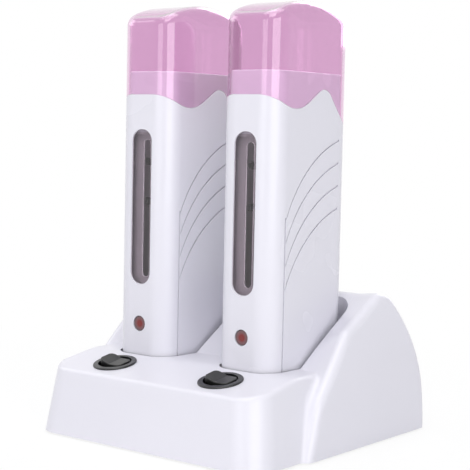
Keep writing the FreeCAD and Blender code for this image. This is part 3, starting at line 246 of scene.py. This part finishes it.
well_metal = drawn_metal("drawn_aluminium", (0.52, 0.48, 0.51), roughness=0.5, metal=0.15)
plate_metal = drawn_metal("plate_aluminium", (0.50, 0.50, 0.52), roughness=0.5)
case_black = rough_finish("thermostat_black", (0.03, 0.03, 0.03), roughness=0.5, grain=1200,
                          depth=0.00005)
for side in SIDES:
    dress(side + "_heater_chamber", well_metal)
    dress(side + "_heater_heating_plate", plate_metal)
    dress(side + "_heater_thermostat", case_black)


# ---- Slots of the wells ----
# The well's front wall has a long slot behind the window. Its cut edge is rolled into a bright
# aluminium bead, and two small black plastic studs, clipped over that edge, keep the well off
# the window.

SLOT_WIDTH = 0.0056
SLOT_LOW = 0.0957
SLOT_HIGH = 0.1811
WELL_SET_BACK = 0.0066
BEAD_RADIUS = 0.00035
BEAD_STEPS = 12
STUD_SIZE = (0.0030, 0.0024, 0.0048)
STUD_TAPER = 0.8
STUD_ROUNDING = 0.0005
STUD_SUNK = 0.0002
STUD_FROM_EDGE = 0.0014
STUD_LEVELS = (0.1431, 0.1674)
bead_metal = drawn_metal("bead_aluminium", (0.98, 0.94, 0.97), roughness=0.25, metal=0.8)
stud_black = rough_finish("stud_black", (0.006, 0.006, 0.006), roughness=0.6, grain=1500,
                          depth=0.00004)


def add_piece(name, data):
    """An object in the scene that shows the given curve, mesh, lamp or camera."""
    piece = bpy.data.objects.new(name, data)
    bpy.context.scene.collection.objects.link(piece)
    return piece


def slot_bead(name, middle, wall):
    """A round bead that follows the slot's edge: two straight sides joined by half circles."""
    radius = SLOT_WIDTH / 2
    outline = []
    for centre, start in ((SLOT_HIGH - radius, 0.0), (SLOT_LOW + radius, math.pi)):
        for step in range(BEAD_STEPS + 1):
            turn = start + math.pi * step / BEAD_STEPS
            across = middle + radius * math.cos(turn)
            outline.append((across, wall, centre + radius * math.sin(turn)))
    curve = bpy.data.curves.new(name, "CURVE")
    curve.dimensions = "3D"
    curve.bevel_depth = BEAD_RADIUS
    curve.bevel_resolution = 3
    loop = curve.splines.new("POLY")
    loop.points.add(len(outline) - 1)
    for point, place in zip(loop.points, outline):
        point.co = (*place, 1)
    loop.use_cyclic_u = True
    curve.materials.append(bead_metal)
    return add_piece(name, curve)


def stud(name, across, wall, level):
    """A small tapered block with rounded edges that stands on the wall at that height."""
    wide, deep, tall = STUD_SIZE
    mesh = bmesh.new()
    bmesh.ops.create_cube(mesh, size=1.0)
    for corner in mesh.verts:
        taper = STUD_TAPER if corner.co.y < 0 else 1.0
        x, y, z = corner.co
        corner.co = Vector((x * wide * taper, y * deep, z * tall * taper))
    bmesh.ops.bevel(mesh, geom=mesh.edges[:], offset=STUD_ROUNDING, segments=3, affect="EDGES",
                    profile=0.5)
    data = bpy.data.meshes.new(name)
    mesh.to_mesh(data)
    mesh.free()
    data.materials.append(stud_black)
    piece = add_piece(name, data)
    piece.location = (across, wall - deep / 2 + STUD_SUNK, level)
    return piece


for side in SIDES:
    low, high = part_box(side + "_heater_chamber")
    middle = (low[0] + high[0]) / 2
    edge = middle + SLOT_WIDTH / 2
    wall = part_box(side + "_heater_left_shell")[0][1] + WELL_SET_BACK
    bead = slot_bead(side + "_well_slot_bead", middle, wall)
    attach(bead, side + "_heater")
    for number, level in enumerate(STUD_LEVELS, start=1):
        piece = stud("%s_well_stud_%d" % (side, number), edge - STUD_FROM_EDGE, wall, level)
        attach(piece, side + "_heater")


# ---- Windows ----
# A clear, slightly smoky plastic moulding, through which the wax level is read. Its thin lip
# lies behind the edges of the shell's slot, which hold it.

# Tint of the lamp light that passes through the window, and of its painted glow.
WINDOW_LAMP_AND_GLOW_TINT = (0.8, 0.78, 0.8, 1)
TRAPPED_DEPTH = 5.5
PAINTED_GLOW_STRENGTH = 0.8


def clear_plastic(name, roughness, ior, through, colour=None):
    """Clear plastic whose tint and gloss vary a little; through is how much light passes."""
    material, tree, shader = new_material(name)
    shader.inputs["Transmission Weight"].default_value = through
    shader.inputs["IOR"].default_value = ior
    clouds = noise(tree, scale=25.0)
    if colour:
        tint = mottle(tree, clouds, colour, darkest=0.97)
        tree.links.new(tint.outputs["Color"], shader.inputs["Base Color"])
    vary_gloss(tree, clouds, low=roughness, high=roughness + 0.02)
    return material


def combine(tree, operation, first, second):
    """The result of an operation on one socket and on another socket or a plain number."""
    node = tree.nodes.new("ShaderNodeMath")
    node.operation = operation
    tree.links.new(first, node.inputs[0])
    if isinstance(second, float):
        node.inputs[1].default_value = second
    else:
        tree.links.new(second, node.inputs[1])
    return node.outputs["Value"]


def mix_shaders(tree, share, first, second):
    """The first shader, with the second laid over it by the share."""
    mix = tree.nodes.new("ShaderNodeMixShader")
    tree.links.new(share, mix.inputs["Fac"])
    tree.links.new(first.outputs[0], mix.inputs[1])
    tree.links.new(second.outputs[0], mix.inputs[2])
    return mix


def let_light_through(material, shade):
    """Lamp light passes straight through thin clear plastic, so what is behind it is lit.

    A ray that meets it after many bounces is given a painted glow in the colour passed as shade,
    rather than turn dark.
    """
    tree = material.node_tree
    clear = tree.nodes.new("ShaderNodeBsdfTransparent")
    clear.inputs["Color"].default_value = shade
    # Painted glow: an emission that makes the plastic shine, though it is no lamp.
    glow = tree.nodes.new("ShaderNodeEmission")
    glow.inputs["Color"].default_value = shade
    glow.inputs["Strength"].default_value = PAINTED_GLOW_STRENGTH
    path = tree.nodes.new("ShaderNodeLightPath")
    lit = mix_shaders(tree, path.outputs["Is Shadow Ray"], tree.nodes["Principled BSDF"], clear)
    trapped = combine(tree, "GREATER_THAN", path.outputs["Ray Depth"], TRAPPED_DEPTH)
    whole = mix_shaders(tree, trapped, lit, glow)
    tree.links.new(whole.outputs[0], tree.nodes["Material Output"].inputs["Surface"])


smoky = clear_plastic("smoky_window", roughness=0.03, ior=1.45, through=1.0,
                      colour=(0.66, 0.615, 0.66))
# The window gets the painted glow, in the same tint as the lamp light it lets through.
let_light_through(smoky, WINDOW_LAMP_AND_GLOW_TINT)
for side in SIDES:
    dress(side + "_heater_window", smoky)


# ---- Indicators ----
# A small round lens of red plastic, set in a hole in the shell's front; its dark edge is painted
# shade from the gap round it. A glow lamp stands behind it.

RING_SHIFT = 0.0002
RING_CENTRE = (0.25, 0.03, 0.03)
# The dark outer rings are painted shade from the gap between lens and hole.
EDGE_PAINTED_SHADE = (0.07, 0.035, 0.045)
RINGS_BETWEEN = ((0.48, (0.22, 0.085, 0.09)), (0.72, (0.20, 0.12, 0.13)),
                 (0.86, (0.08, 0.04, 0.05)))


def length(tree, vector):
    """How far a point is from the origin of its coordinates."""
    node = tree.nodes.new("ShaderNodeVectorMath")
    node.operation = "LENGTH"
    tree.links.new(vector, node.inputs[0])
    return node.outputs["Value"]


def ringed_lens(name, lens):
    """Rings of colour round the lens's own middle: red, then smoky mauve, then a dark edge of
    painted shade from the gap round the lens.
    """
    low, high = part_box(lens)
    middle = (Vector(low) + Vector(high)) / 2
    radius = (high[2] - low[2]) / 2
    material = clear_plastic(name, roughness=0.12, ior=1.45, through=0.15)
    tree = material.node_tree
    place = tree.nodes.new("ShaderNodeTexCoord")
    centred = tree.nodes.new("ShaderNodeMapping")
    centred.inputs["Location"].default_value = (-middle.x - RING_SHIFT, 0, -middle.z)
    centred.inputs["Scale"].default_value = (1, 0, 1)
    tree.links.new(place.outputs["Object"], centred.inputs["Vector"])
    share = combine(tree, "DIVIDE", length(tree, centred.outputs["Vector"]), radius)
    rings = ramp(tree, share, start=0.3, low=RING_CENTRE, end=1.0, high=EDGE_PAINTED_SHADE)
    for position, colour in RINGS_BETWEEN:
        rings.color_ramp.elements.new(position).color = (*colour, 1)
    tree.links.new(rings.outputs["Color"], tree.nodes["Principled BSDF"].inputs["Base Color"])
    return material


lamp = clear_plastic("lamp_orange", roughness=0.05, ior=1.45, through=0.6,
                     colour=(0.95, 0.35, 0.25))
for side in SIDES:
    lens = side + "_heater_indicator_lens"
    dress(lens, ringed_lens(side + "_indicator_red", lens))
    dress(side + "_heater_indicator_lamp", lamp)


# ---- Contacts of the heaters ----
# A dark plastic block in the heater's foot. Two nickel-plated sleeves are pressed into it, and
# slip over the pins of the dock.

for side in SIDES:
    dress(side + "_heater_contact_block", insulator)
    dress(side + "_heater_contact_sleeves", nickel)


# ---- Caps ----
# A clear pink plastic moulding with a wavy foot that rests on the shell's edge. It is lifted off
# to reach the cartridge.

# Tint of the lamp light that passes through the cap, and of its painted glow.
CAP_LAMP_AND_GLOW_TINT = (0.88, 0.95, 0.88, 1)
pink = clear_plastic("clear_pink", roughness=0.02, ior=1.49, through=1.0,
                     colour=(0.81, 0.575, 0.755))
# The cap gets the painted glow, in the same tint as the lamp light it lets through.
let_light_through(pink, CAP_LAMP_AND_GLOW_TINT)
for side in SIDES:
    dress(side + "_cap", pink)


# ---- Floor, light and camera ----
# A white table in a plain bright room, lit by soft lamps. The camera sees both as plain white,
# and so do rays through or off the object. Round the object the table keeps a little of its own
# shade, so that the shadow shows.

FLOOR_REACH = 6
NEAR_SHARE = 0.85
SHADOW_NEAR = 0.1
SHADOW_FAR = 0.45


def seen_rays(tree):
    """1 for rays from the camera and for those through or off the object, and 0 for the rest."""
    path = tree.nodes.new("ShaderNodeLightPath")
    either = combine(tree, "MAXIMUM", path.outputs["Is Camera Ray"],
                     path.outputs["Is Glossy Ray"])
    return combine(tree, "MAXIMUM", either, path.outputs["Is Transmission Ray"])


floor_white, tree, shader = new_material("floor_white")
shader.inputs["Base Color"].default_value = (0.9, 0.9, 0.9, 1)
shader.inputs["Roughness"].default_value = 0.9
white_glow = tree.nodes.new("ShaderNodeEmission")
white_glow.inputs["Strength"].default_value = 1.0
fade = tree.nodes.new("ShaderNodeMapRange")
fade.interpolation_type = "SMOOTHSTEP"
fade.inputs["From Min"].default_value = SHADOW_NEAR
fade.inputs["From Max"].default_value = SHADOW_FAR
fade.inputs["To Min"].default_value = NEAR_SHARE
fade.inputs["To Max"].default_value = 1.0
place = tree.nodes.new("ShaderNodeTexCoord")
tree.links.new(length(tree, place.outputs["Object"]), fade.inputs["Value"])
white_share = combine(tree, "MULTIPLY", seen_rays(tree), fade.outputs["Result"])
whole = mix_shaders(tree, white_share, shader, white_glow)
tree.links.new(whole.outputs[0], tree.nodes["Material Output"].inputs["Surface"])

floor_mesh = bpy.data.meshes.new("floor")
corners = [(-1, -1), (1, -1), (1, 1), (-1, 1)]
floor_mesh.from_pydata([(x * FLOOR_REACH, y * FLOOR_REACH, 0) for x, y in corners], [],
                       [(0, 1, 2, 3)])
floor_mesh.materials.append(floor_white)
floor = add_piece("floor", floor_mesh)

scene = bpy.context.scene
scene.view_settings.view_transform = "Standard"
world = bpy.data.worlds.new("room")
scene.world = world
world.use_nodes = True
tree = world.node_tree
room = tree.nodes["Background"]
room.inputs["Color"].default_value = (0.93, 0.94, 1.0, 1)
room.inputs["Strength"].default_value = 0.24
white_room = tree.nodes.new("ShaderNodeBackground")
white_room.inputs["Color"].default_value = (1, 1, 1, 1)
white_room.inputs["Strength"].default_value = 1.0
whole = mix_shaders(tree, seen_rays(tree), room, white_room)
tree.links.new(whole.outputs[0], tree.nodes["World Output"].inputs["Surface"])


def soft_lamp(name, place, aim, size, power):
    """A rectangular lamp of that width and height, in metres, that shines at the aim."""
    light = bpy.data.lights.new(name, "AREA")
    light.shape = "RECTANGLE"
    light.size, light.size_y = size
    light.energy = power
    lamp_object = add_piece(name, light)
    lamp_object.location = place
    lamp_object.rotation_mode = "QUATERNION"
    lamp_object.rotation_quaternion = (Vector(aim) - Vector(place)).to_track_quat("-Z", "Y")


soft_lamp("front_strip", (0.045, -1.3, 0.33), aim=(0.02, 0, 0.25), size=(0.6, 0.55), power=2.0)
soft_lamp("right_strip", (1.13, -0.65, 0.35), aim=(0, 0, 0.2), size=(0.95, 0.6), power=5.6)
soft_lamp("high_front", (0.5, -0.9, 1.3), aim=(0, 0, 0.1), size=(0.7, 0.7), power=6.4)
soft_lamp("overhead", (0.0, -0.1, 1.6), aim=(0, 0, 0), size=(1.2, 1.2), power=11.5)
soft_lamp("left_fill", (-1.2, -0.4, 0.8), aim=(0, 0, 0.15), size=(0.8, 0.8), power=4.2)
soft_lamp("rear_fill", (-0.2, 1.4, 0.8), aim=(0, 0, 0.12), size=(1.0, 1.0), power=6.5)

AZIMUTH = math.radians(37.91)
ELEVATION = math.radians(4.45)
ROLL = math.radians(1.22)
DISTANCE = 0.7853
AIM = Vector((0.0211, -0.02635, 0.1252))
camera = bpy.data.cameras.new("camera")
camera.sensor_width = 36
camera.lens = 100.57
camera_object = add_piece("camera", camera)
across = Vector((math.cos(AZIMUTH), math.sin(AZIMUTH), 0))
back = Vector((math.sin(AZIMUTH) * math.cos(ELEVATION),
               -math.cos(AZIMUTH) * math.cos(ELEVATION),
               math.sin(ELEVATION)))
facing = Matrix((across, back.cross(across), back)).transposed().to_4x4()
rolled = facing @ Matrix.Rotation(ROLL, 4, "Z")
camera_object.matrix_world = Matrix.Translation(AIM + back * DISTANCE) @ rolled
scene.camera = camera_object
